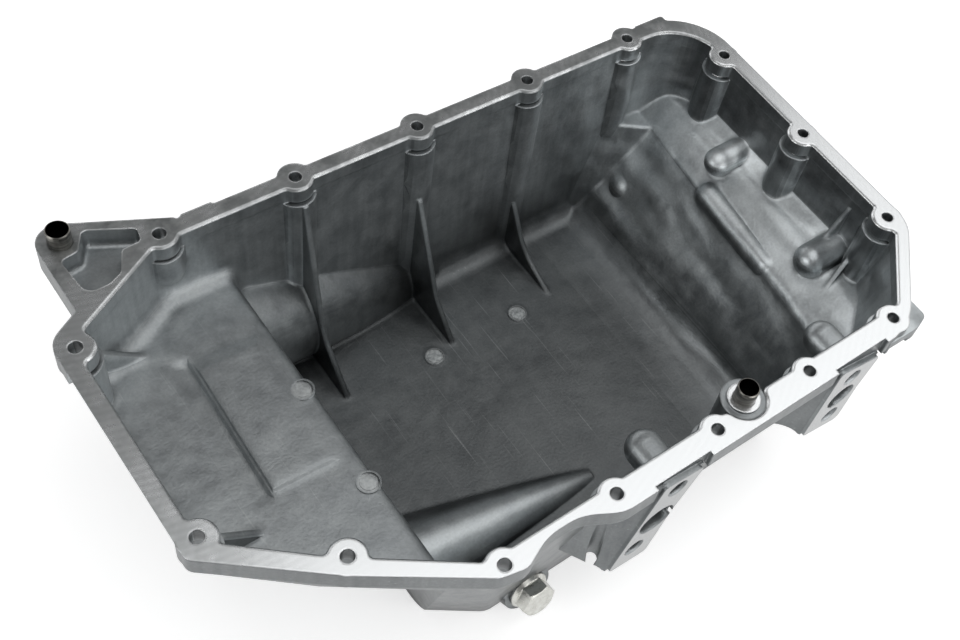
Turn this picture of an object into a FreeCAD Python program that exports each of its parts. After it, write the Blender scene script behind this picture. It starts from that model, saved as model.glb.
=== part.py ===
"""Cast aluminium oil pan of an inline-four engine, resting on its sump with the gasket rail up.

Millimetres. +X runs along the crankshaft towards the end with the raised ledge, +Y to the side
with the ribs, +Z up. Z is 0 under the sump and RAIL_Z at the gasket face.
"""
import math
import os

import FreeCAD
import Part

V = FreeCAD.Vector

# Overall heights
RAIL_Z = 148.0            # gasket face above the underside of the sump
RAIL_T = 12.0             # thickness of the rail
WALL = 4.2                # wall of the casting
FLOOR_T = 5.0             # floor of the casting
SHELF_Z = RAIL_Z - 48.0   # top of the shallow shelf
POCKET_FLOOR = 4.0        # floor of the pocket in the bracket
BRACKET_T = 16.0          # thickness of the corner bracket


def rail(depth):
    """Height of a point that lies depth below the gasket face."""
    return RAIL_Z - depth


# Bolt rows of the rail: first place, pitch and count
BOLT_R = 3.5
ROW_Y = 121.25
FAR_X, FAR_PITCH = -146.0, 77.0
NEAR_X, NEAR_PITCH = -104.5, 66.0
END_X, END_Y, END_PITCH = 209.3, -68.0, 74.5
LEFT_TOP_Y, LEFT_LOW_Y = 79.5, -36.0
CORNER_BOLT = (-160.3, -79.3)
BOSS_R = 9.6              # boss around a bolt at the gasket face
COLUMN_R = 11.3           # wall around the spanner space under a boss
SPANNER_R = 7.6           # spanner space under the rail

# Inside edge of the rail: the lines that bound the basin, as x, y, corner radius
LEFT_X, DIAGONAL_TIP, NEAR_Y = -209.3, -110.1, -115.4
INNER_X, FAR_Y = 208.2, 116.0
BASIN = [(LEFT_X, -37.5, 8), (-165.3, -75.6, 0), (DIAGONAL_TIP, NEAR_Y, 12), (169.4, NEAR_Y, 6),
         (INNER_X, -76.0, 8), (INNER_X, FAR_Y, 32), (-150.0, FAR_Y, 20), (LEFT_X, 82.7, 10)]
# How far each of those walls leans in from the rail to the sump floor, in the same order
LEAN = [36.0, 38.0, 23.0, 22.0, 6.0, 4.0, 4.0, 12.0]

SHELF_FILLET = 8.0        # inside corners at the foot of the shelf's walls
SUMP_FILLET = 13.0        # the same on the sump floor
EDGE_FILLET = 14.0        # outside edges under the sump
STEP_TOP_X, STEP_FOOT_X, STEP_ROUND = -113.5, -102.0, 6.0


def wire(points, z):
    """Closed outline at height z through (x, y, radius) corners, with an arc in each corner."""
    n, ends = len(points), []
    for i, (x, y, r) in enumerate(points):
        p = V(x, y, z)
        a = V(points[i - 1][0], points[i - 1][1], z).sub(p)
        b = V(points[(i + 1) % n][0], points[(i + 1) % n][1], z).sub(p)
        half = a.getAngle(b) / 2
        a.normalize()
        b.normalize()
        reach = r / math.tan(half)
        bisector = a.add(b).normalize()
        middle = p.add(bisector * (r / math.sin(half) - r))
        ends.append((p.add(a * reach), middle, p.add(b * reach), r))
    edges = []
    for i, (start, middle, end, r) in enumerate(ends):
        if r > 0:
            edges.append(Part.Arc(start, middle, end).toShape())
        edges.append(Part.LineSegment(end, ends[(i + 1) % n][0]).toShape())
    return Part.Wire(edges)


def prism(points, z0, z1):
    return Part.Face(wire(points, z0)).extrude(V(0, 0, z1 - z0))


def polygon_face(corners):
    return Part.Face(Part.makePolygon(corners + corners[:1]))


def frustum(low, z0, high, z1):
    """Flat-sided solid between two outlines with matching sides, its standing edges rounded."""
    a = [V(x, y, z0) for x, y, _ in low]
    b = [V(x, y, z1) for x, y, _ in high]
    sides = [polygon_face([a[i - 1], a[i], b[i], b[i - 1]]) for i in range(len(a))]
    shell = Part.Shell([polygon_face(a[::-1]), polygon_face(b)] + sides)
    shell.sewShape()
    solid = Part.Solid(shell)
    for radius in sorted({corner[2] for corner in low if corner[2] > 0}, reverse=True):
        lines = [Part.LineSegment(a[i], b[i]).toShape() for i in range(len(a)) if low[i][2] == radius]
        standing = [e for e in solid.Edges if any(is_along(e, line) for line in lines)]
        solid = solid.makeFillet(radius, standing)
    return solid


def is_along(edge, line):
    return max(line.distToShape(Part.Vertex(v.Point))[0] for v in edge.Vertexes) < 0.01


def inset(points, distances):
    """The outline with each side moved inwards by its own distance; side i starts at corner i."""
    n, lines = len(points), []
    for i in range(n):
        (x0, y0, _), (x1, y1, _) = points[i], points[(i + 1) % n]
        length = math.hypot(x1 - x0, y1 - y0)
        nx, ny = -(y1 - y0) / length, (x1 - x0) / length
        lines.append((nx, ny, nx * x0 + ny * y0 + distances[i]))
    corners = []
    for i in range(n):
        (a, b, c), (d, e, f) = lines[i - 1], lines[i]
        k = a * e - b * d
        corners.append(((c * e - b * f) / k, (a * f - c * d) / k, points[i][2]))
    return corners


def cylinder(x, y, r, z0, z1):
    return Part.makeCylinder(r, z1 - z0, V(x, y, z0))


def bolt_places():
    far = [(FAR_X + i * FAR_PITCH, ROW_Y) for i in range(5)]
    near = [(NEAR_X + i * NEAR_PITCH, -ROW_Y) for i in range(5)]
    end = [(END_X, END_Y + i * END_PITCH) for i in range(3)]
    left = [(-END_X, LEFT_TOP_Y), (-END_X, LEFT_LOW_Y), CORNER_BOLT]
    return far + near + end + left


# Outside edge of the rail and of the corner bracket
EDGE_X = 218.5
RAIL_FAR_Y = 125.7
RAIL_LIP = 0.4            # the rail's inside edge stands in from the wall below it by this
EDGE_BREAK = 1.2          # chamfer along the rail's inside edge
BRACKET_ROOT, BRACKET_TIP = (-133.9, RAIL_FAR_Y, 4), (-200.2, 157.6, 11.5)
RAIL_EDGE = [(-EDGE_X, -43.2, 6), (-165.0, -87.5, 0), (-110.0, -125.5, 10), (-96.0, -128.5, 10),
             (-80.0, -120.8, 30), (-60.0, -120.8, 30), (-41.0, -131.3, 25), (164.7, -131.3, 42),
             (EDGE_X, -77.4, 25), (EDGE_X, RAIL_FAR_Y, 39), BRACKET_ROOT, BRACKET_TIP,
             (BRACKET_TIP[0], 98.4, 3), (-EDGE_X, 87.4, 12)]
# Plan of the thicker part of the bracket, and of two small tabs on the far edge of the rail
BRACKET = [(BRACKET_ROOT[0], 118.0, 0), (BRACKET_ROOT[0], 126.5, 4), BRACKET_TIP,
           (BRACKET_TIP[0], 90.0, 0), (-150.0, 112.0, 0)]
TAB = [(172.0, 120.0, 0), (195.0, 120.0, 0), (195.0, 127.3, 2), (172.0, 127.3, 2)]
LIP = [(-132.0, 120.0, 0), (-114.5, 120.0, 0), (-114.5, 127.2, 1), (-132.0, 127.2, 1)]
POCKET = [(-155.5, 121.5, 3), (-166.0, 121.0, 3), (-172.5, 108.5, 5), (-180.0, 105.0, 8), (-191.5, 104.6, 6),
          (-193.8, 128.5, 3), (-184.0, 130.0, 4), (-177.0, 141.0, 3), (-154.0, 129.5, 2.5)]
EAR = [(150.0, -110.0, 0), (150.0, -131.5, 0), (172.8, -131.9, 8), (182.5, -128.6, 4), (182.5, -112.0, 4)]
EAR_TOP, EAR_LOW = 6.0, 16.0   # depths of the unmachined ear beside the last near bolt
SMOOTH = 2.5              # radius in the concave corners of the rail outline
SIDE_DRAFT, SIDE_Y = 1.8, (-34.0, 70.0)   # the rail's left side leans in by this, between these y

# Locating sleeves
SLEEVE_R, SLEEVE_BORE_R, SLEEVE_H, SLEEVE_DEEP = 6.0, 5.2, 20.0, 10.0
LEFT_SLEEVE = (-188.7, 139.5)
RIGHT_SLEEVE = (51.5, -114.5)
SLEEVE_BOSS_R = 12.3
SLEEVE_FACE_R = 9.0       # machined ring round the right sleeve
SLEEVE_COLUMN = 60.0      # depth the round boss of the right sleeve reaches down to
SWING_R = 5.0             # corners where the rail's inner edge swings out round that boss
SLEEVE_PRESS = 0.3        # the pressed end is this much narrower in radius
SLEEVE_GAP, SLEEVE_BREAK = 0.3, 0.5   # height of the pressed end above the face, and chamfer of the free end
BRACKET_FAR = LEFT_SLEEVE[1] + 11.5
POCKET_ROUND = 3.0

# Inside shapes
COLUMN_DRAFT = 1.0
SHORT_COLUMN = 26.0       # depth of the middle of the rounded end of the one short column
# Ribs on the far wall: x, depth of the top, and y and depth of the bend in the free edge
RIBS = ((-69.5, 12.5, (89.0, 110.0)), (6.5, 52.0, (82.0, 120.0)), (82.5, 100.0, (92.0, 130.0)))
RIB_TIP_Y, RIB_TOP_Y, RIB_ROOT_Y, RIB_BEND_R, RIB_HALF = 60.0, 109.0, 118.0, 40.0, 1.8
# Webs on the left end wall: places, then x of tip, bend and root, depth of the top, and half thickness
GUSSETS_Y = (89.5, -28.5)
GUSSET_TIP_X, GUSSET_TOP_X, GUSSET_ROOT_X, GUSSET_TOP, GUSSET_HALF = 174.0, 195.0, 210.0, 28.5, 2.0
END_BUMPS = ((42.0, 9.5, 178.0), (-48.0, 11.0, 175.0))   # y, radius, x of the tip
DOME_Y, DOME_R, DOME_LONG = -98.0, 10.0, 22.0
EJECTOR_R = 5.5
EJECTORS = ((-118.5, 30.3, SHELF_Z), (-118.5, -33.3, SHELF_Z), (-8.8, 58.6, FLOOR_T), (55.3, 58.6, FLOOR_T))
FAR_SWELL = ((-171.4, 114.1, 62.8), (62.0, 151.4, -18.9))   # ends of the far ledge's axis
FAR_SWELL_R = 38.5
NEAR_SWELL = ((-112.0, -44.8, 0.0), (25.0, -60.0, -2.0))
NEAR_SWELL_R = (30.0, 8.0)

# Forms on the right ledge
RIDGE = ((178.0, 33.0, rail(69.0)), (173.5, -28.0, rail(70.5)))
RIDGE_R = 9.0
BALL, BALL_R = (169.6, 90.8, rail(115.8)), 16.0
FOOT_X, FOOT_Y = 198.0, (-48.0, 75.0)
FINS = (((198.0, -43.0, rail(40.0)), (210.0, -44.5, rail(12.5))),
        ((172.0, -69.5, rail(62.0)), (210.0, -61.0, rail(30.0))))
# Panel on the shelf: middle, size, height and turn, and the depth of its groove
PANEL_AT, PANEL_X, PANEL_Y, PANEL_H, PANEL_TURN, GROOVE_DEEP = (-142.0, 27.0), 32.0, 78.0, 1.2, -2.0, 1.6

# Right ledge: x, depth and radius of the corners of its surface along the near and the far wall
LEDGE_OUT, LEDGE_Y = 240.0, 140.0   # beyond the end wall, and half the width of the ledge's space
LEDGE_NEAR = [(112.0, 143.2, 0), (139.0, 143.2, 22), (154.0, 64.0, 14), (182.0, 51.0, 20), (206.0, 50.0, 0)]
LEDGE_FAR = [(112.0, 143.2, 0), (138.0, 143.2, 22), (186.0, 68.0, 14), (200.0, 52.0, 10), (209.0, 50.0, 0)]

# Sloping corner between the right ledge and the far wall: plan at the floor, lean and depth of its top
CORNER = [(126.0, 160.0), (126.0, 116.0), (164.0, 90.0), (LEDGE_OUT, 90.0), (LEDGE_OUT, 160.0)]
CORNER_LEAN, CORNER_TOP = 27.0, 68.0

# Pads for a bracket on the near side: outline as x, depth, radius; holes as x, depth
PAD_Y = -132.0
PADS = (
    [(-15.0, 2.5, 3), (12.0, 6.0, 3), (0.0, 42.0, 60), (-7.5, 82.0, 3), (-34.5, 79.0, 4)],
    [(110.0, 3.4, 3), (144.0, 11.5, 4), (139.0, 40.0, 60), (138.0, 74.0, 4), (106.2, 67.0, 4)],
)
PAD_ROOTS = (
    [(-46.0, 13.0, 3), (24.0, 13.0, 3), (12.0, 50.0, 60), (4.0, 92.0, 3), (-54.0, 66.0, 4)],
    [(98.0, 13.0, 3), (150.0, 13.0, 4), (149.0, 50.0, 60), (146.0, 84.0, 4), (86.0, 60.0, 4)],
)
PAD_HOLES = (((-4.5, 13.2), (-10.8, 40.9), (-19.9, 63.6)), ((124.5, 18.1), (124.5, 38.1), (124.5, 58.1)))
PAD_HOLE_R, PAD_HOLE_DEEP = 5.2, 22.0
PAD_WINDOW_R, PAD_WINDOW_DEEP = (11.0, 9.6), 14.0
PAD_NOTCHES, PAD_NOTCH_Y = ((-20.0, 16.0), (106.5, 145.5)), -128.6   # where the rail stands back above a pad
PAD_ROOT_Y = -108.0
PAD_T = 4.0
PAD_ARCH_R = 11.0

# Drain
DRAIN_SEAT = (-56.7, -102.0, 126.7)   # x, y, depth of the middle of the seat
DRAIN_TILT = 13.0
DRAIN_R, DRAIN_BOSS_R = 7.0, 15.0
DRAIN_CLEARANCE = 0.05
SEAT_R = 13.0
PLUG_FLATS, PLUG_HEAD_H, PLUG_FLANGE_R, PLUG_FLANGE_T, PLUG_SHANK = 19.0, 8.0, 12.0, 2.5, 14.0
WASHER_R, WASHER_T = 11.0, 1.5


def smoothed(face, radius):
    """The face with its concave corners rounded."""
    return face.makeOffset2D(radius, fill=False).makeOffset2D(-radius, fill=False)


def bolt_disc(place):
    return Part.Face(Part.Wire(Part.makeCircle(BOSS_R, V(*place, 0))))


def rail_profile():
    outline = Part.Face(wire(RAIL_EDGE, 0))
    discs = [bolt_disc(place) for place in bolt_places() if place != (NEAR_X, -ROW_Y)]
    tabs = [Part.Face(wire(points, 0)) for points in (TAB, LIP)]
    return smoothed(outline.fuse(discs + tabs).removeSplitter().Faces[0], SMOOTH)


def opening_profile():
    """Hole in the rail: the basin less the bolt bosses, swung out round the right sleeve."""
    basin = Part.Face(wire(BASIN, 0))
    bulge = Part.Face(Part.Wire(Part.makeCircle(SLEEVE_BOSS_R, V(*RIGHT_SLEEVE, 0))))
    discs = [bolt_disc(place) for place in bolt_places()]
    swung = smoothed(basin.fuse(bulge).removeSplitter().Faces[0], SWING_R)
    return smoothed(swung.cut(discs).Faces[0], -SMOOTH)


def basin_at(depth, out=0.0):
    """Plan of the basin at a depth, leaning in below the rail, grown by out."""
    share = (depth - RAIL_T) / (RAIL_Z - FLOOR_T - RAIL_T)
    return inset(BASIN, [lean * share - out for lean in LEAN])


def side_prism(points, y0, y1):
    """Solid between y0 and y1 whose outline is given as x, z pairs."""
    flat = Part.makePolygon([V(x, y0, z) for x, z in points + points[:1]])
    return Part.Face(flat).extrude(V(0, y1 - y0, 0))


def under_shelf(wall):
    """Room below the shelf; the step down to the sump is its right side."""
    top = SHELF_Z - wall
    foot, head = STEP_FOOT_X - wall, STEP_TOP_X - wall
    return side_prism([(-EDGE_X - 20, -20), (foot, -20), (foot, FLOOR_T), (head, top), (-EDGE_X - 20, top)],
                      -EDGE_X, EDGE_X)


def ledge_profile(points, y, shift):
    """Section under the right ledge: floor, steep rise, rounded shoulder and flat top."""
    drop = shift * FLOOR_T / WALL
    moved = [(x + shift, rail(depth) - drop, r) for x, depth, r in points]
    ring = wire(moved + [(LEDGE_OUT, moved[-1][1], 0), (LEDGE_OUT, -30, 0), (moved[0][0], -30, 0)], 0)
    ring.rotate(V(0, 0, 0), V(1, 0, 0), 90)
    ring.translate(V(0, y, 0))
    return ring


def under_ledge(shift):
    """Space below the right ledge and below its sloping corner at the far wall."""
    near = ledge_profile(LEDGE_NEAR, -LEDGE_Y, shift)
    far = ledge_profile(LEDGE_FAR, LEDGE_Y, shift)
    low = [(x, y, 0) for x, y in CORNER]
    high = [(min(x + CORNER_LEAN, LEDGE_OUT), y, 0) for x, y in CORNER]
    corner = frustum(low, 0, high, rail(CORNER_TOP))
    corner.translate(V(shift * 0.575, shift * 0.818, -shift))
    return Part.makeLoft([near, far], True, True).fuse(corner)


def sloping_cylinder(start, end, r0, r1):
    line = V(*end).sub(V(*start))
    if abs(r0 - r1) < 0.01:
        return Part.makeCylinder(r0, line.Length, V(*start), line)
    return Part.makeCone(r0, r1, line.Length, V(*start), line)


def capsule(start, end, r):
    """Round bar with domed ends."""
    line = V(*end).sub(V(*start))
    far, k = line.Length, r * math.sqrt(0.5)
    outline = [Part.Arc(V(0, 0, -r), V(k, 0, -k), V(r, 0, 0)).toShape(),
               Part.LineSegment(V(r, 0, 0), V(r, 0, far)).toShape(),
               Part.Arc(V(r, 0, far), V(k, 0, far + k), V(0, 0, far + r)).toShape(),
               Part.LineSegment(V(0, 0, far + r), V(0, 0, -r)).toShape()]
    solid = Part.Face(Part.Wire(outline)).revolve(V(0, 0, 0), V(0, 0, 1), 360)
    solid.Placement = FreeCAD.Placement(V(*start), FreeCAD.Rotation(V(0, 0, 1), line))
    return solid


def swells(shrink):
    """Long rounded ledges along the far wall and in the near left corner of the sump."""
    far = sloping_cylinder(FAR_SWELL[0], FAR_SWELL[1], FAR_SWELL_R - shrink, FAR_SWELL_R - shrink)
    near = sloping_cylinder(NEAR_SWELL[0], NEAR_SWELL[1], NEAR_SWELL_R[0] - shrink, NEAR_SWELL_R[1] - shrink)
    return [far, near]


def capped(x, y, z, r, direction, length):
    """Boss with a domed end at (x, y, z), running off by length along direction."""
    return [Part.makeSphere(r, V(x, y, z)), Part.makeCylinder(r, length, V(x, y, z), V(*direction))]


def edges_where(shape, test):
    return [edge for edge in shape.Edges if test(edge.BoundBox)]


def hollow():
    """Room for the oil: sump, shelf and ledge, with rounded feet."""
    low, high = basin_at(RAIL_Z - FLOOR_T, RAIL_LIP), basin_at(RAIL_T - 2, RAIL_LIP)
    room = frustum(low, FLOOR_T, high, rail(RAIL_T - 2))
    room = room.cut(under_shelf(0)).cut(under_ledge(0))
    lip = edges_where(room, lambda b: b.XLength < 1 and abs(b.XMax - STEP_TOP_X) < 0.6 and b.YLength > 50)
    room = room.makeFillet(STEP_ROUND, lip)

    def on_floor(b):
        return b.ZLength < 0.02 and abs(b.ZMax - FLOOR_T) < 0.02 and b.XMin < LEDGE_NEAR[0][0] + 2

    def on_shelf(b):
        step = b.XLength < 1 and b.XMin > STEP_TOP_X - 12
        return b.ZLength < 0.02 and abs(b.ZMax - SHELF_Z) < 0.02 and b.XMax < STEP_TOP_X and not step
    shelf = room.makeFillet(SHELF_FILLET, edges_where(room, on_shelf))
    sump = room.makeFillet(SUMP_FILLET, edges_where(room, on_floor))
    return shelf.common(sump)


def columns():
    """Walls round the spanner spaces under the bolt bosses, standing into the basin."""
    shapes = []
    for x, y in bolt_places():
        if (x, y) == (FAR_X, ROW_Y):
            shapes += capped(x, y, rail(SHORT_COLUMN), COLUMN_R, (0, 0, 1), SHORT_COLUMN - RAIL_T + 1)
        else:
            shapes.append(Part.makeCone(COLUMN_R + COLUMN_DRAFT, COLUMN_R, RAIL_Z - RAIL_T, V(x, y, 0)))
    x, y = RIGHT_SLEEVE
    shapes.append(cylinder(x, y, SLEEVE_BOSS_R, rail(SLEEVE_COLUMN), rail(1.5)))
    shapes.append(cylinder(x, y, SLEEVE_FACE_R, rail(3.0), RAIL_Z))
    return shapes


def web(profile, half):
    """Thin wall with a rounded free edge; profile is y, z, radius from foot to top."""
    ring = wire(profile, 0)
    ring.rotate(V(0, 0, 0), V(1, 1, 1), 120)
    ring.translate(V(-half, 0, 0))
    wall, low = profile[0][0], profile[0][1]
    solid = Part.Face(ring).extrude(V(2 * half, 0, 0))
    free = edges_where(solid, lambda b: b.XLength < 0.01 and b.YMax < wall - 0.1 and b.ZMin > low + 0.1)
    return solid.makeFillet(half * 0.7, free)


def far_ribs():
    shapes = []
    for x, depth, (bend_y, bend_depth) in RIBS:
        low, top = FLOOR_T - 2, rail(depth)
        rib = web([(RIB_ROOT_Y, low, 0), (RIB_TIP_Y, low, 0), (RIB_TIP_Y, FLOOR_T, 0),
                   (bend_y, rail(bend_depth), RIB_BEND_R), (RIB_TOP_Y, top, 0), (RIB_ROOT_Y, top, 0)],
                  RIB_HALF)
        rib.translate(V(x, 0, 0))
        shapes.append(rib)
    return shapes


def end_gussets():
    """Two small triangular webs between the left end wall and the shelf."""
    shapes = []
    for y in GUSSETS_Y:
        low, top = SHELF_Z - 2, rail(GUSSET_TOP)
        gusset = web([(GUSSET_ROOT_X, low, 0), (GUSSET_TIP_X, low, 0), (GUSSET_TIP_X, SHELF_Z, 0),
                      (GUSSET_TOP_X, top, 0), (GUSSET_ROOT_X, top, 0)], GUSSET_HALF)
        gusset.rotate(V(0, 0, 0), V(0, 0, 1), 90)
        gusset.translate(V(0, y, 0))
        shapes.append(gusset)
    return shapes


def fin(start, end, low, half):
    """Upright plate whose top edge runs from start to end."""
    line = V(end[0] - start[0], end[1] - start[1], 0).normalize()
    across = V(-line.y, line.x, 0) * half
    low_start, low_end = V(start[0], start[1], low), V(end[0], end[1], low)
    side = polygon_face([p - across for p in (low_start, V(*start), V(*end), low_end)])
    return side.extrude(across * 2)


def ledge_forms():
    """Two fins, a long rounded ridge, a round swell and the sloping foot of the end wall."""
    ridge = [capsule(RIDGE[0], RIDGE[1], RIDGE_R)]
    foot = side_prism([(INNER_X + 6, rail(60)), (FOOT_X, rail(60)), (FOOT_X, rail(52)), (INNER_X, rail(41)),
                       (INNER_X + 6, rail(41))], *FOOT_Y)
    fins = [fin(start, end, rail(66), 1.3) for start, end in FINS]
    return ridge + [Part.makeSphere(BALL_R, V(*BALL)), foot] + fins


def shelf_panel():
    """Low raised panel on the shelf, and the groove along its left side."""
    w, d = PANEL_X / 2, PANEL_Y / 2
    low = [(-w - 2, -d - 4, 0), (w + 8, -d - 4, 0), (w + 8, d + 14, 0), (-w - 2, d + 14, 0)]
    high = [(-w, -d, 0), (w, -d, 0), (w, d, 0), (-w, d, 0)]
    panel = frustum(low, -1.0, high, PANEL_H)
    deep = [(-w - 3.9, -d - 1, 0), (-w - 3.5, -d - 1, 0), (-w - 3.5, d + 7, 0), (-w - 3.9, d + 7, 0)]
    wide = [(-w - 12, -d - 5, 0), (-w - 1.6, -d - 5, 0), (-w - 1.6, d + 11, 0), (-w - 12, d + 11, 0)]
    groove = frustum(deep, -GROOVE_DEEP, wide, 0.02)
    for shape in (panel, groove):
        shape.rotate(V(0, 0, 0), V(0, 0, 1), PANEL_TURN)
        shape.translate(V(*PANEL_AT, SHELF_Z))
    return panel, groove


def end_bumps():
    """Domed bosses on the right end wall, and blunt ones that close the pad holes inside."""
    shapes = []
    for y, r, tip in END_BUMPS:
        shapes += capped(tip + r, y, rail(50), r, (1, 0, 0), LEDGE_OUT - 22 - tip - r)
    for (x, _), depth in ((PAD_HOLES[0][0], 13.0), (PAD_HOLES[1][0], 14.0)):
        shapes.append(Part.makeCone(DOME_R - 3, DOME_R, DOME_LONG, V(x, DOME_Y, rail(depth + 1)), V(0, -1, 0)))
    return shapes


def discs():
    """Ejector marks: a low disc in a raised ring, two on the shelf edge and two on the sump floor."""
    shapes = []
    for x, y, z in EJECTORS:
        ring = cylinder(x, y, EJECTOR_R + 1, z - 2, z + 0.7).cut(cylinder(x, y, EJECTOR_R, z, z + 2))
        shapes.append(ring.fuse(cylinder(x, y, EJECTOR_R - 1, z - 2, z + 0.3)))
    return shapes


def outside():
    body = frustum(basin_at(RAIL_Z, WALL), 0, basin_at(RAIL_T - 2, WALL), rail(RAIL_T - 2))
    body = body.cut(under_shelf(WALL)).cut(under_ledge(WALL))
    low = edges_where(body, lambda b: b.ZLength < 0.05 and b.ZMax < 0.05 and b.XLength > 6)
    return body.makeFillet(EDGE_FILLET, low)


def spanner_spaces():
    """Straight ways up to the bolt heads, open to the outside."""
    shapes = []
    for x, y in bolt_places():
        if (x, y) == (FAR_X, ROW_Y):
            low, side = rail(SHORT_COLUMN), (0, 1)
        elif abs(y) > 100:
            low, side = -1, (0, math.copysign(1, y))
        else:
            low, side = -1, (math.copysign(1, x), 0)
        if (x, y) == CORNER_BOLT:
            side = (-0.6, -0.8)
        shapes.append(cylinder(x, y, SPANNER_R, low, rail(RAIL_T)))
        slot = Part.makeBox(40, 2 * SPANNER_R, rail(RAIL_T) - low, V(0, -SPANNER_R, low))
        slot.rotate(V(0, 0, 0), V(0, 0, 1), math.degrees(math.atan2(side[1], side[0])))
        slot.translate(V(x, y, 0))
        shapes.append(slot)
    return shapes


def pad(front, root):
    """Bolt pad: a plate in front of a web that fans back to the wall, hollowed below."""
    def outline(points, y, sharp):
        turned = wire([(x, depth, 0 if sharp else r) for x, depth, r in points], 0)
        turned.rotate(V(0, 0, 0), V(1, 0, 0), -90)
        turned.translate(V(0, y, RAIL_Z))
        return turned
    plate = Part.Face(outline(front, PAD_Y, False)).extrude(V(0, PAD_T, 0))
    ends = [outline(front, PAD_Y + PAD_T / 2, True), outline(root, PAD_ROOT_Y, True)]
    fan = Part.makeLoft(ends, True, True)
    low = front[-1]
    arch = Part.makeCylinder(PAD_ARCH_R, 100, V(low[0] - 50, -120.0, rail(low[1] + 6)), V(1, 0, 0))
    return plate.fuse(fan.cut(arch))


def pad_holes():
    shapes = []
    for (upper, middle, lower), window_r in zip(PAD_HOLES, PAD_WINDOW_R):
        for x, depth in (upper, lower):
            shapes.append(Part.makeCylinder(PAD_HOLE_R, PAD_HOLE_DEEP, V(x, PAD_Y, rail(depth)), V(0, 1, 0)))
            shapes.append(Part.makeCone(PAD_HOLE_R + 1, PAD_HOLE_R, 1, V(x, PAD_Y, rail(depth)), V(0, 1, 0)))
        x, depth = middle
        shapes.append(Part.makeCylinder(window_r, PAD_WINDOW_DEEP, V(x, PAD_Y, rail(depth)), V(0, 1, 0)))
    return shapes


def bracket():
    """Corner bracket of the left sleeve."""
    return prism(BRACKET, rail(BRACKET_T), RAIL_Z)


def pocket():
    """Blind pocket in the bracket."""
    room = prism(POCKET, rail(BRACKET_T - POCKET_FLOOR), RAIL_Z + 1)
    low = edges_where(room, lambda b: b.ZLength < 0.02 and b.ZMax < RAIL_Z)
    return room.makeFillet(POCKET_ROUND, low)


def drain_frame(shape):
    """Carry a shape built along +Z with its seat at Z 0 to the drain, head outwards."""
    x, y, depth = DRAIN_SEAT
    shape.rotate(V(0, 0, 0), V(1, 0, 0), 90 - DRAIN_TILT)
    shape.translate(V(x, y, rail(depth)))
    return shape


def drain_boss():
    return drain_frame(Part.makeCone(DRAIN_BOSS_R + 3, DRAIN_BOSS_R, 16, V(0, 0, -16)))


def drain_hole():
    """Hole for the plug, and the flat seat cut round it."""
    hole = Part.makeCylinder(DRAIN_R + DRAIN_CLEARANCE, 40, V(0, 0, -34))
    return drain_frame(hole.fuse(Part.makeCone(SEAT_R, SEAT_R + 4, 16)))


def is_inside_edge(edge, opening):
    middle = edge.valueAt((edge.FirstParameter + edge.LastParameter) / 2)
    flat = Part.Vertex(middle.x, middle.y, rail(RAIL_T))
    return opening.OuterWire.distToShape(flat)[0] < 0.02


def casting():
    plate = rail_profile()
    plate.translate(V(0, 0, rail(RAIL_T)))
    side_foot = SIDE_DRAFT - EDGE_X
    side = side_prism([(-EDGE_X - 5, 0), (side_foot, 0), (side_foot, rail(RAIL_T)), (-EDGE_X, rail(0.5)),
                       (-EDGE_X - 5, rail(0.5))], *SIDE_Y)
    notches = [Part.makeBox(x1 - x0, 20, RAIL_T, V(x0, PAD_NOTCH_Y - 20, rail(RAIL_T)))
               for x0, x1 in PAD_NOTCHES]
    plate = plate.extrude(V(0, 0, RAIL_T)).cut([side] + notches)
    ear = prism(EAR, rail(EAR_LOW), rail(EAR_TOP))
    body = plate.fuse([outside(), bracket(), ear]).cut(spanner_spaces())
    body = body.fuse([pad(front, root) for front, root in zip(PADS, PAD_ROOTS)] + [drain_boss()])
    inner = columns() + far_ribs() + end_gussets() + end_bumps() + ledge_forms() + swells(0) + discs()
    opening = opening_profile()
    opening.translate(V(0, 0, rail(RAIL_T)))
    panel, groove = shelf_panel()
    room = hollow().fuse([opening.extrude(V(0, 0, RAIL_T + 1)), groove]).cut(inner + [panel])
    body = body.cut(room)
    inside = [e for e in body.Edges if e.BoundBox.ZMin > RAIL_Z - 0.01 and is_inside_edge(e, opening)]
    body = body.makeChamfer(EDGE_BREAK, inside)
    tools = [cylinder(x, y, BOLT_R, 0, RAIL_Z + 1) for x, y in bolt_places()]
    tools += [cylinder(*place, SLEEVE_R - SLEEVE_PRESS, rail(SLEEVE_DEEP), RAIL_Z + 1)
              for place in (LEFT_SLEEVE, RIGHT_SLEEVE)]
    return body.cut(tools + [pocket(), drain_hole()] + pad_holes())


def sleeve(place):
    x, y = place
    low, shoulder, top = rail(SLEEVE_DEEP), RAIL_Z + SLEEVE_GAP, rail(SLEEVE_DEEP) + SLEEVE_H
    pressed = cylinder(x, y, SLEEVE_R - SLEEVE_PRESS, low, shoulder)
    free = cylinder(x, y, SLEEVE_R, shoulder, top - SLEEVE_BREAK)
    tip = Part.makeCone(SLEEVE_R, SLEEVE_R - SLEEVE_BREAK, SLEEVE_BREAK, V(x, y, top - SLEEVE_BREAK))
    return pressed.fuse([free, tip]).cut(cylinder(x, y, SLEEVE_BORE_R, 0, top + 1))


def hexagon(flats, height, z):
    r = flats / 2 / math.cos(math.pi / 6)
    corners = [V(r * math.cos(i * math.pi / 3), r * math.sin(i * math.pi / 3), z) for i in range(6)]
    return Part.Face(Part.makePolygon(corners + corners[:1])).extrude(V(0, 0, height))


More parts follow.
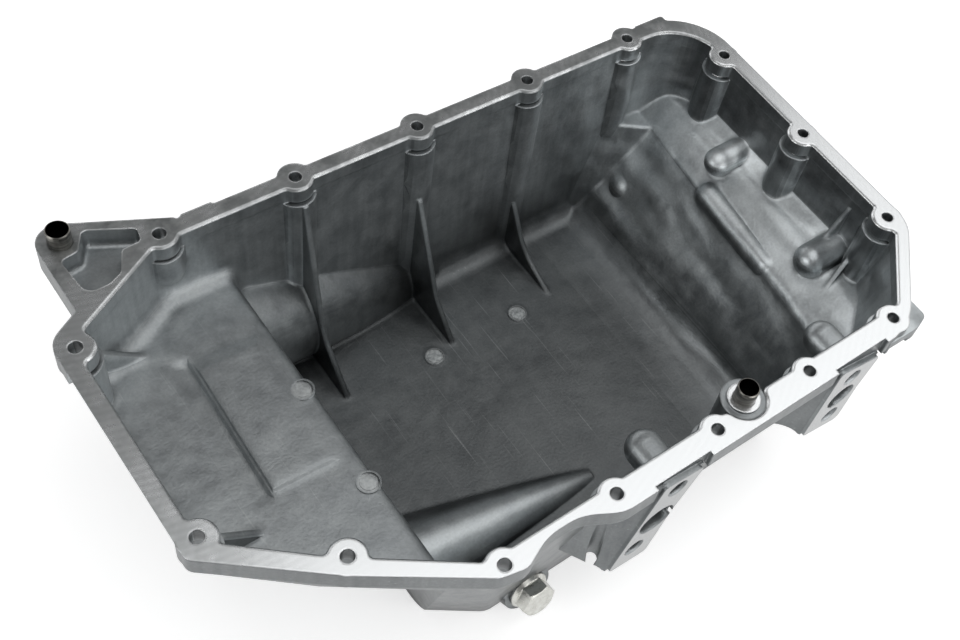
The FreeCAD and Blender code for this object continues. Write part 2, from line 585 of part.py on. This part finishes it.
def plug():
    top = WASHER_T + PLUG_FLANGE_T + PLUG_HEAD_H
    flange = Part.makeCone(PLUG_FLANGE_R, PLUG_FLANGE_R - 1.5, PLUG_FLANGE_T, V(0, 0, WASHER_T))
    head = hexagon(PLUG_FLATS, PLUG_HEAD_H, WASHER_T + PLUG_FLANGE_T)
    dome = Part.makeCone(PLUG_FLATS / 2 + PLUG_HEAD_H * 1.4, PLUG_FLATS / 2 - 0.5, PLUG_HEAD_H,
                         V(0, 0, top - PLUG_HEAD_H))
    shank = Part.makeCylinder(DRAIN_R, PLUG_SHANK + WASHER_T, V(0, 0, -PLUG_SHANK))
    return drain_frame(flange.fuse([head.common(dome), shank]))


def washer():
    ring = Part.makeCylinder(WASHER_R, WASHER_T)
    return drain_frame(ring.cut(Part.makeCylinder(DRAIN_R + DRAIN_CLEARANCE, WASHER_T)))


def main():
    os.makedirs("parts", exist_ok=True)
    pieces = {
        "oil_pan_casting": casting(),
        "left_dowel_sleeve": sleeve(LEFT_SLEEVE),
        "right_dowel_sleeve": sleeve(RIGHT_SLEEVE),
        "drain_plug": plug(),
        "drain_plug_washer": washer(),
    }
    for name, shape in pieces.items():
        shape.translate(V(0, -(PAD_Y + BRACKET_FAR) / 2, 0))
        shape.exportStep("parts/%s.step" % name)


main()
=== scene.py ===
import math

import bpy
from mathutils import Matrix, Vector


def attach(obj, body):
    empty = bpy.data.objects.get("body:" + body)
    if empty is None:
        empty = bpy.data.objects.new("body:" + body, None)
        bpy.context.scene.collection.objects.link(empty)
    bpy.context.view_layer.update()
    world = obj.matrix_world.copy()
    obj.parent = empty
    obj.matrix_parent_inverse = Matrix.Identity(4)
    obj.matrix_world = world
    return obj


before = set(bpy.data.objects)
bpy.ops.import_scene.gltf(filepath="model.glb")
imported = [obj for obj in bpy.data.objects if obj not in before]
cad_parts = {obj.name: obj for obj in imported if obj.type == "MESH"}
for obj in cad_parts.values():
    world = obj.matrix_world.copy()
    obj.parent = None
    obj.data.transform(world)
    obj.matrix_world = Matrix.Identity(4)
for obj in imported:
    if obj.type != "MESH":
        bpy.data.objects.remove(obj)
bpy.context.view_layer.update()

scene = bpy.context.scene

MM = 0.001
RAIL_TOP = 148 * MM                    # height of the gasket face
MILLED_DEPTH = 1.35 * MM               # how far the milled chamfer goes below it
PAD_FACE = -141.5 * MM                 # y of the faces of the two near pads
HALF_BASIN = (209 * MM, 111 * MM)      # half length and half width, outside
EJECTORS = ((-118.5 * MM, 20.8 * MM), (-118.5 * MM, -42.8 * MM), (-8.8 * MM, 49.1 * MM), (55.3 * MM, 49.1 * MM))
LEFT_SLEEVE = (-188.7 * MM, 130.0 * MM)
RIGHT_SLEEVE = (51.5 * MM, -124.0 * MM)


def linear(code):
    """Hex colour in sRGB as linear RGBA."""
    parts = [int(code[i:i + 2], 16) / 255 for i in (1, 3, 5)]
    return [p / 12.92 if p <= 0.04045 else ((p + 0.055) / 1.055) ** 2.4 for p in parts] + [1.0]


def bare_material(name):
    made = bpy.data.materials.new(name)
    made.use_nodes = True
    made.node_tree.nodes.clear()
    return made


def add(material, kind, inputs=(), out=None, **settings):
    """Adds a node with its settings and links, and gives back the output that out names, or else the first in use.
    The inputs go to the sockets in use, in order, or by name from a dict. Each is a plain value, a hex colour or
    the output that feeds the socket."""
    node = material.node_tree.nodes.new("ShaderNode" + kind)
    for setting, value in settings.items():
        setattr(node, setting, value)
    sockets = [socket for socket in node.inputs if socket.enabled]
    if isinstance(inputs, dict):
        sockets, inputs = [node.inputs[name] for name in inputs], inputs.values()
    for socket, value in zip(sockets, inputs):
        if isinstance(value, bpy.types.NodeSocket):
            material.node_tree.links.new(value, socket)
        else:
            socket.default_value = linear(value) if isinstance(value, str) else value
    return node.outputs[out] if out else next((output for output in node.outputs if output.enabled), None)


def where_all(material, *bounds):
    """How far a spot meets every bound, from 0 to 1. A bound is a mask, or a measure with the value at which it
    starts to count and the value from which it counts in full."""
    share = 1.0
    for bound in bounds:
        mask = add(material, "MapRange", bound) if isinstance(bound, tuple) else bound
        share = add(material, "Math", [share, mask], operation="MULTIPLY")
    return share


def shade(material, colour, measure, start, end, before, after):
    """The colour times before up to the start of the measure, and times after from its end."""
    strength = add(material, "MapRange", [measure, start, end, before, after])
    return add(material, "Mix", [1.0, colour, strength], data_type="RGBA", blend_type="MULTIPLY")


def cast_and_milled():
    """Aluminium alloy pressed as liquid into a steel die: a dull grey skin with cloudy flow stains, drag marks up
    the walls and a fine grit. The gasket face and the pads were milled after that, which leaves them bright, with
    faint arcs."""
    m = bare_material("pressure_cast_aluminium")
    place = add(m, "TexCoord", out="Object")
    x, y, z = add(m, "SeparateXYZ", [place]).node.outputs
    in_plan = add(m, "CombineXYZ", [x, y])
    normal = add(m, "NewGeometry", out="True Normal")
    facing_x, facing_y, facing_z = add(m, "SeparateXYZ", [normal]).node.outputs

    # Milled: the gasket face with its chamfer, and the faces of the pads
    at_the_top = add(m, "Math", [z, RAIL_TOP - MILLED_DEPTH], operation="GREATER_THAN")
    facing_up = add(m, "Math", [facing_z, 0.5], operation="GREATER_THAN")
    at_the_front = add(m, "Math", [y, PAD_FACE + 0.1 * MM], operation="LESS_THAN")
    facing_front = add(m, "Math", [facing_y, -0.9], operation="LESS_THAN")
    pads = where_all(m, at_the_front, facing_front)
    milled = add(m, "Math", [where_all(m, at_the_top, facing_up), pads], operation="MAXIMUM")

    # A wall is an outside one where it faces away from the middle. The fifth power lets the nearest side decide.
    steep = add(m, "Math", [facing_z], operation="ABSOLUTE")
    walls = add(m, "MapRange", [steep, 0.35, 0.6, 1.0, 0.0])
    away_from_middle = 0.0
    for measure, half, facing in zip((x, y), HALF_BASIN, (facing_x, facing_y)):
        nearness = add(m, "Math", [measure, half], operation="DIVIDE")
        nearness = add(m, "Math", [nearness, 5.0], operation="POWER")
        away_from_middle = add(m, "Math", [nearness, facing, away_from_middle], operation="MULTIPLY_ADD")
    faces_out = add(m, "Math", [away_from_middle, 0.0], operation="GREATER_THAN")
    outside = where_all(m, walls, faces_out)
    inside = add(m, "Math", [walls, outside], operation="SUBTRACT")

    # Flow clouds and stains, and grit of about 0.3 mm that is drawn 1.6 mm wide to show
    clouds = add(m, "TexNoise", {"Vector": place, "Scale": 1 / (45 * MM), "Detail": 4.0})
    patches = add(m, "TexNoise", {"Vector": place, "Scale": 1 / (11 * MM), "Detail": 5.0, "Roughness": 0.6})
    grit = add(m, "TexNoise", {"Vector": place, "Scale": 1 / (1.6 * MM), "Detail": 2.0})
    tone = add(m, "Math", [clouds, patches], operation="ADD")
    tone = add(m, "Math", [tone, 0.5], operation="MULTIPLY")
    # Drag marks, 5 mm wide and 70 mm long, where the casting was pushed off the die
    drawn_up = add(m, "Mapping", {"Vector": place, "Scale": (1 / (5 * MM), 1 / (5 * MM), 1 / (70 * MM))})
    drag = add(m, "TexNoise", {"Vector": drawn_up, "Scale": 1.0, "Detail": 4.0})
    drag = add(m, "Math", [drag, 0.5], operation="SUBTRACT")
    tone = add(m, "Math", [where_all(m, drag, walls), 0.45, tone], operation="MULTIPLY_ADD")
    skin = add(m, "Mix", [add(m, "MapRange", [tone, 0.34, 0.68]), "#8a8e90", "#a6aaab"], data_type="RGBA")
    skin = shade(m, skin, grit, 0.3, 0.7, 0.93, 1.06)

    # Painted shade: the skin is painted darker towards the bottom of the deep sump
    skin = shade(m, skin, z, 5 * MM, 60 * MM, 0.38, 1.0)
    # Painted highlight: the sloping skin of the ledge at the right end is painted paler
    ledge = where_all(m, (x, 105 * MM, 145 * MM), (facing_z, 0.05, 0.35))
    # Painted shade: the end wall inside, facing the left, is painted darker
    end_wall = where_all(m, inside, (facing_x, -0.6, -0.9))
    # Painted highlight: the swell low by the near wall is painted paler
    near_corner = where_all(m, (x, 60 * MM, 20 * MM), (y, -48 * MM, -66 * MM), (z, 6 * MM, 14 * MM),
                            (z, 75 * MM, 55 * MM), (facing_z, 0.1, 0.3))
    # Painted light and shade: the inside walls are painted paler, the rest a little darker, the outside walls
    # darker still
    for region, around, within in ((inside, 0.92, 1.38), (ledge, 1.0, 1.75), (end_wall, 1.0, 0.48),
                                   (outside, 1.0, 0.55), (near_corner, 1.0, 3.0)):
        skin = shade(m, skin, region, 0.0, 1.0, around, within)

    # Thin bright scratches of wiping, 1.4 mm wide and 56 mm long
    wiped = add(m, "Mapping", {"Vector": place, "Rotation": (0, 0, math.radians(38)),
                               "Scale": (1 / (1.4 * MM), 1 / (56 * MM), 1 / (1.4 * MM))})
    scratches = add(m, "TexNoise", {"Vector": wiped, "Scale": 1.0, "Detail": 2.0})
    scratches = add(m, "MapRange", [scratches, 0.66, 0.8, 0.0, 0.25])
    skin = add(m, "Mix", [scratches, skin, "#c3c6c6"], data_type="RGBA")

    # Ejector pins leave paler, pressed discs
    level = add(m, "Math", [facing_z, 0.9], operation="GREATER_THAN")
    rubbed = add(m, "MapRange", [grit, 0.3, 0.7, 0.35, 0.85])
    for centre in EJECTORS:
        distance = add(m, "VectorMath", [in_plan, (*centre, 0)], operation="DISTANCE")
        disc = where_all(m, (distance, 6.2 * MM, 5.2 * MM), level, rubbed)
        skin = add(m, "Mix", [disc, skin, "#b9bcbc"], data_type="RGBA")

    # Oil has stained the milled face at the far side, and less at the left
    far_side = add(m, "MapRange", [y, 60 * MM, 120 * MM])
    left_side = add(m, "MapRange", [x, -170 * MM, -215 * MM, 0.0, 0.55])
    stained = add(m, "Math", [far_side, left_side], operation="MAXIMUM")
    stains = add(m, "TexNoise", {"Vector": place, "Scale": 1 / (18 * MM), "Detail": 4.0, "Roughness": 0.6})
    blots = where_all(m, (stains, 0.30, 0.60), stained)
    bright = add(m, "Mix", [blots, "#dcdedf", "#828585"], data_type="RGBA")

    # The cutter's arcs are about 0.3 mm apart and are drawn 3.8 mm apart to show. Stains bring them out.
    cutter_centre, half_step = (-150 * MM, 260 * MM, 0), 1.9 * MM
    turned = add(m, "VectorMath", [in_plan, cutter_centre], operation="DISTANCE")
    arcs = add(m, "Math", [turned, half_step], operation="PINGPONG")
    strength = add(m, "MapRange", [stained, 0.0, 0.55, 0.03, 0.26])
    arcs = where_all(m, (arcs, 0.0, half_step), strength)
    bright = add(m, "Mix", [arcs, bright, "#8f9191"], data_type="RGBA")
    bright = shade(m, bright, pads, 0.0, 1.0, 1.0, 0.42)
    colour = add(m, "Mix", [milled, skin, bright], data_type="RGBA")

    # Painted shade: holes and tight corners, where ambient occlusion finds little open sky, are painted nearly
    # black
    open_sky = add(m, "AmbientOcclusion", {"Distance": 9 * MM}, out="AO", samples=8, only_local=True)
    colour = shade(m, colour, open_sky, 0.06, 0.34, 0.12, 1.0)
    skin_rough = add(m, "MapRange", [patches, 0.3, 0.7, 0.34, 0.46])
    milled_rough = add(m, "MapRange", [blots, 0.0, 1.0, 0.24, 0.34])
    roughness = add(m, "Mix", [milled, skin_rough, milled_rough], data_type="FLOAT")

    # Edges and corners are rounded 1.3 mm, more in the deep of the die, and most on the shelf
    faces_in = add(m, "Math", [1.0, faces_out], operation="SUBTRACT")
    in_basin = where_all(m, (z, 130 * MM, 124 * MM), faces_in)
    extra = add(m, "MapRange", [x, -96 * MM, -106 * MM, 2.7 * MM, 5.7 * MM])
    radius = add(m, "Math", [in_basin, extra, 1.3 * MM], operation="MULTIPLY_ADD")
    rounded = add(m, "Bevel", {"Radius": radius}, samples=6)

    # The skin is slightly wavy everywhere, with long, deeper swells at the right end
    waves = add(m, "TexNoise", {"Vector": place, "Scale": 1 / (24 * MM), "Detail": 2.0})
    drawn_out = add(m, "Mapping", {"Vector": place, "Rotation": (0, 0, math.radians(-14)),
                                   "Scale": (1 / (30 * MM), 1 / (78 * MM), 1 / (30 * MM))})
    swells = add(m, "TexNoise", {"Vector": drawn_out, "Scale": 1.0, "Detail": 1.0})
    right_end = add(m, "MapRange", [x, 100 * MM, 150 * MM, 0.0, 8.0])
    height = 0.0
    for pattern, depth in ((waves, 0.6), (grit, 0.10), (swells, right_end), (patches, 0.09)):
        height = add(m, "Math", [pattern, depth, height], operation="MULTIPLY_ADD")
    unmilled = add(m, "Math", [1.0, milled], operation="SUBTRACT")
    surface = add(m, "Bump", {"Height": height, "Strength": unmilled, "Distance": 1.0 * MM, "Normal": rounded})
    shader = add(m, "BsdfPrincipled", {"Base Color": colour, "Roughness": roughness, "Normal": surface,
                                       "Metallic": 0.92})
    add(m, "OutputMaterial", {"Surface": shader})
    return m


def sleeve_steel(name, centre):
    """Rolled spring steel: smooth and grey outside with faint rings; the bore is painted nearly black, as painted
    shade.
    """
    m = bare_material(name)
    place = add(m, "TexCoord", out="Object")
    x, y, _ = add(m, "SeparateXYZ", [place]).node.outputs
    in_plan = add(m, "CombineXYZ", [x, y])
    radius = add(m, "VectorMath", [in_plan, (*centre, 0)], operation="DISTANCE")
    outside_the_bore = add(m, "MapRange", [radius, 5.25 * MM, 5.4 * MM])
    rolled = add(m, "Mapping", {"Vector": place, "Scale": (1 / (9.6 * MM), 1 / (9.6 * MM), 1 / (1.2 * MM))})
    rings = add(m, "TexNoise", {"Vector": rolled, "Scale": 1.0, "Detail": 2.0})
    shell = add(m, "Mix", [add(m, "MapRange", [rings, 0.35, 0.65]), "#5d5c58", "#85837e"], data_type="RGBA")
    # Painted shade: inside the bore the colour is nearly black
    colour = add(m, "Mix", [outside_the_bore, "#121211", shell], data_type="RGBA")
    shader = add(m, "BsdfPrincipled", {"Base Color": colour, "Metallic": 1.0, "Roughness": 0.28})
    add(m, "OutputMaterial", {"Surface": shader})
    return m


def zinc_plate():
    """Steel forging with bright zinc plating: silvery, with a faint crystalline bloom and softened edges."""
    m = bare_material("zinc_plated_steel")
    place = add(m, "TexCoord", out="Object")
    bloom = add(m, "TexNoise", {"Vector": place, "Scale": 1 / (3.5 * MM), "Detail": 4.0, "Roughness": 0.6})
    colour = add(m, "Mix", [add(m, "MapRange", [bloom, 0.35, 0.65]), "#bdbdb7", "#d2d2cd"], data_type="RGBA")
    roughness = add(m, "MapRange", [bloom, 0.3, 0.7, 0.26, 0.31])
    rounded = add(m, "Bevel", {"Radius": 0.8 * MM}, samples=6)
    shader = add(m, "BsdfPrincipled", {"Base Color": colour, "Roughness": roughness, "Normal": rounded,
                                       "Metallic": 1.0})
    add(m, "OutputMaterial", {"Surface": shader})
    return m


def washer_aluminium():
    """Soft annealed aluminium, pressed once: pale and matt with small dents."""
    m = bare_material("annealed_aluminium")
    place = add(m, "TexCoord", out="Object")
    dents = add(m, "TexNoise", {"Vector": place, "Scale": 1 / (1.5 * MM), "Detail": 3.0})
    colour = add(m, "Mix", [add(m, "MapRange", [dents, 0.35, 0.65]), "#a4a6a6", "#c2c4c4"], data_type="RGBA")
    surface = add(m, "Bump", {"Height": dents, "Strength": 0.5, "Distance": 0.1 * MM})
    shader = add(m, "BsdfPrincipled", {"Base Color": colour, "Normal": surface, "Metallic": 1.0, "Roughness": 0.42})
    add(m, "OutputMaterial", {"Surface": shader})
    return m


FINISHES = {
    "oil_pan_casting": cast_and_milled(),
    "left_dowel_sleeve": sleeve_steel("left_sleeve_steel", LEFT_SLEEVE),
    "right_dowel_sleeve": sleeve_steel("right_sleeve_steel", RIGHT_SLEEVE),
    "drain_plug": zinc_plate(),
    "drain_plug_washer": washer_aluminium(),
}
for name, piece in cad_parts.items():
    piece.data.materials.clear()
    piece.data.materials.append(FINISHES[name])


def boss_dome(name, x, z):
    """Rounded end of the boss that closes a pad hole inside the near wall: a half ball drawn back to the wall."""
    radius, middle, wall = 10.2 * MM, -114.5 * MM, -125.0 * MM
    bpy.ops.object.select_all(action="DESELECT")
    bpy.ops.mesh.primitive_uv_sphere_add(segments=40, ring_count=20, radius=radius, location=(x, middle, z),
                                         rotation=(math.radians(90), 0, 0))
    dome = bpy.context.active_object
    dome.name = name
    bpy.ops.object.transform_apply(location=True, rotation=True, scale=True)
    bpy.ops.object.mode_set(mode="EDIT")
    bpy.ops.mesh.select_all(action="SELECT")
    bpy.ops.mesh.bisect(plane_co=(x, middle, z), plane_no=(0, 1, 0), clear_inner=True, clear_outer=False)
    bpy.ops.mesh.select_all(action="DESELECT")
    bpy.ops.mesh.select_non_manifold()
    bpy.ops.mesh.extrude_region_move(TRANSFORM_OT_translate={"value": (0, wall - middle, 0)})
    bpy.ops.mesh.edge_face_add()
    bpy.ops.mesh.select_all(action="SELECT")
    bpy.ops.mesh.normals_make_consistent(inside=False)
    bpy.ops.object.mode_set(mode="OBJECT")
    bpy.ops.object.shade_smooth_by_angle(angle=math.radians(40))
    dome.data.materials.append(FINISHES["oil_pan_casting"])
    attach(dome, "pan")


boss_dome("left_pad_boss_dome", -4.5 * MM, RAIL_TOP - 14 * MM)
boss_dome("right_pad_boss_dome", 124.5 * MM, RAIL_TOP - 15 * MM)

# Camera as in the photograph, solved from the bolt holes: lengths on the picture are in its pixels
PICTURE = (960, 640)
OPTICAL_CENTRE = (623.13, 298.49)
FOCAL_LENGTH = 1303.45
SENSOR = 36.0
CAMERA_PLACE = Vector((-0.30097, -0.29196, 0.69608))
RIGHT = Vector((0.7671, -0.6119, 0.1928))
DOWN = Vector((-0.4164, -0.7035, -0.5760))
FORWARD = Vector((0.4880, 0.3616, -0.7944))
camera = bpy.data.objects.new("camera", bpy.data.cameras.new("camera"))
scene.collection.objects.link(camera)
camera.matrix_world = Matrix.Translation(CAMERA_PLACE) @ Matrix((RIGHT, -DOWN, -FORWARD)).transposed().to_4x4()
camera.data.sensor_width = SENSOR
camera.data.lens = FOCAL_LENGTH / PICTURE[0] * SENSOR
camera.data.shift_x = (PICTURE[0] / 2 - OPTICAL_CENTRE[0]) / PICTURE[0]
camera.data.shift_y = (OPTICAL_CENTRE[1] - PICTURE[1] / 2) / PICTURE[0]
camera.data.clip_end = 100
scene.camera = camera

# Floor of pale paper with an upright rim far away, 0.2 mm under the sump so that the two faces stay apart
bpy.ops.object.select_all(action="DESELECT")
bpy.ops.mesh.primitive_plane_add(size=60.0, location=(0, 0, -0.2 * MM))
floor = bpy.context.active_object
floor.name = "floor"
bpy.ops.object.mode_set(mode="EDIT")
bpy.ops.mesh.select_mode(type="EDGE")
bpy.ops.mesh.select_all(action="SELECT")
bpy.ops.mesh.extrude_edges_move(TRANSFORM_OT_translate={"value": (0, 0, 9.0)})
bpy.ops.object.mode_set(mode="OBJECT")

# Matt paper that glows a little to the camera and in reflections, more away from the pan, so it stays near white
# and the shadow near the pan still shows
paper = bare_material("pale_paper")
ray = add(paper, "LightPath").node.outputs
seen = add(paper, "Math", [ray["Is Camera Ray"], ray["Is Glossy Ray"]], operation="MAXIMUM")
distance = add(paper, "VectorMath", [add(paper, "TexCoord", out="Object")], operation="LENGTH")
glow = add(paper, "MapRange", [distance, 0.7, 3.0, 0.50, 0.85])
glow = add(paper, "Math", [seen, glow], operation="MULTIPLY")
matt = add(paper, "BsdfDiffuse", {"Color": "#f2f2f2"})
lit = add(paper, "Emission", {"Color": "#ffffff", "Strength": glow})
add(paper, "OutputMaterial", {"Surface": add(paper, "AddShader", [matt, lit])})
floor.data.materials.append(paper)


def softbox(name, place, aim, width, height, radiance, turn=0.0):
    """Rectangular lamp at place that faces aim, turned in plan; radiance 1 looks plain white in a mirror."""
    data = bpy.data.lights.new(name, "AREA")
    data.shape, data.size, data.size_y = "RECTANGLE", width, height
    data.energy = radiance * math.pi * width * height
    lamp = bpy.data.objects.new(name, data)
    scene.collection.objects.link(lamp)
    lamp.location = place
    facing = (Vector(aim) - Vector(place)).to_track_quat("-Z", "Y").to_matrix()
    lamp.rotation_euler = (Matrix.Rotation(math.radians(turn), 3, "Z") @ facing).to_euler()


PAN_MIDDLE = (0.0, 0.0, 0.1)
softbox("overhead", (0.75, -0.25, 1.6), (0.75, -0.25, 0.0), 2.9, 1.50, 1.27, turn=-6)
softbox("front", (0.5, -2.3, 1.25), PAN_MIDDLE, 3.4, 0.8, 3.0)
softbox("left", (-2.3, 0.1, 1.1), PAN_MIDDLE, 1.6, 0.8, 3.2)
softbox("back", (0.5, 2.4, 1.1), PAN_MIDDLE, 3.0, 0.6, 1.3)
softbox("right", (1.75, 0.45, 1.6), (1.75, 0.45, 0.0), 1.0, 0.9, 1.0)

world = bpy.data.worlds.new("studio")
world.use_nodes = True
air = world.node_tree.nodes["Background"].inputs
air["Color"].default_value = (1, 1, 1, 1)
air["Strength"].default_value = 0.22
scene.world = world
scene.view_settings.view_transform = "Standard"
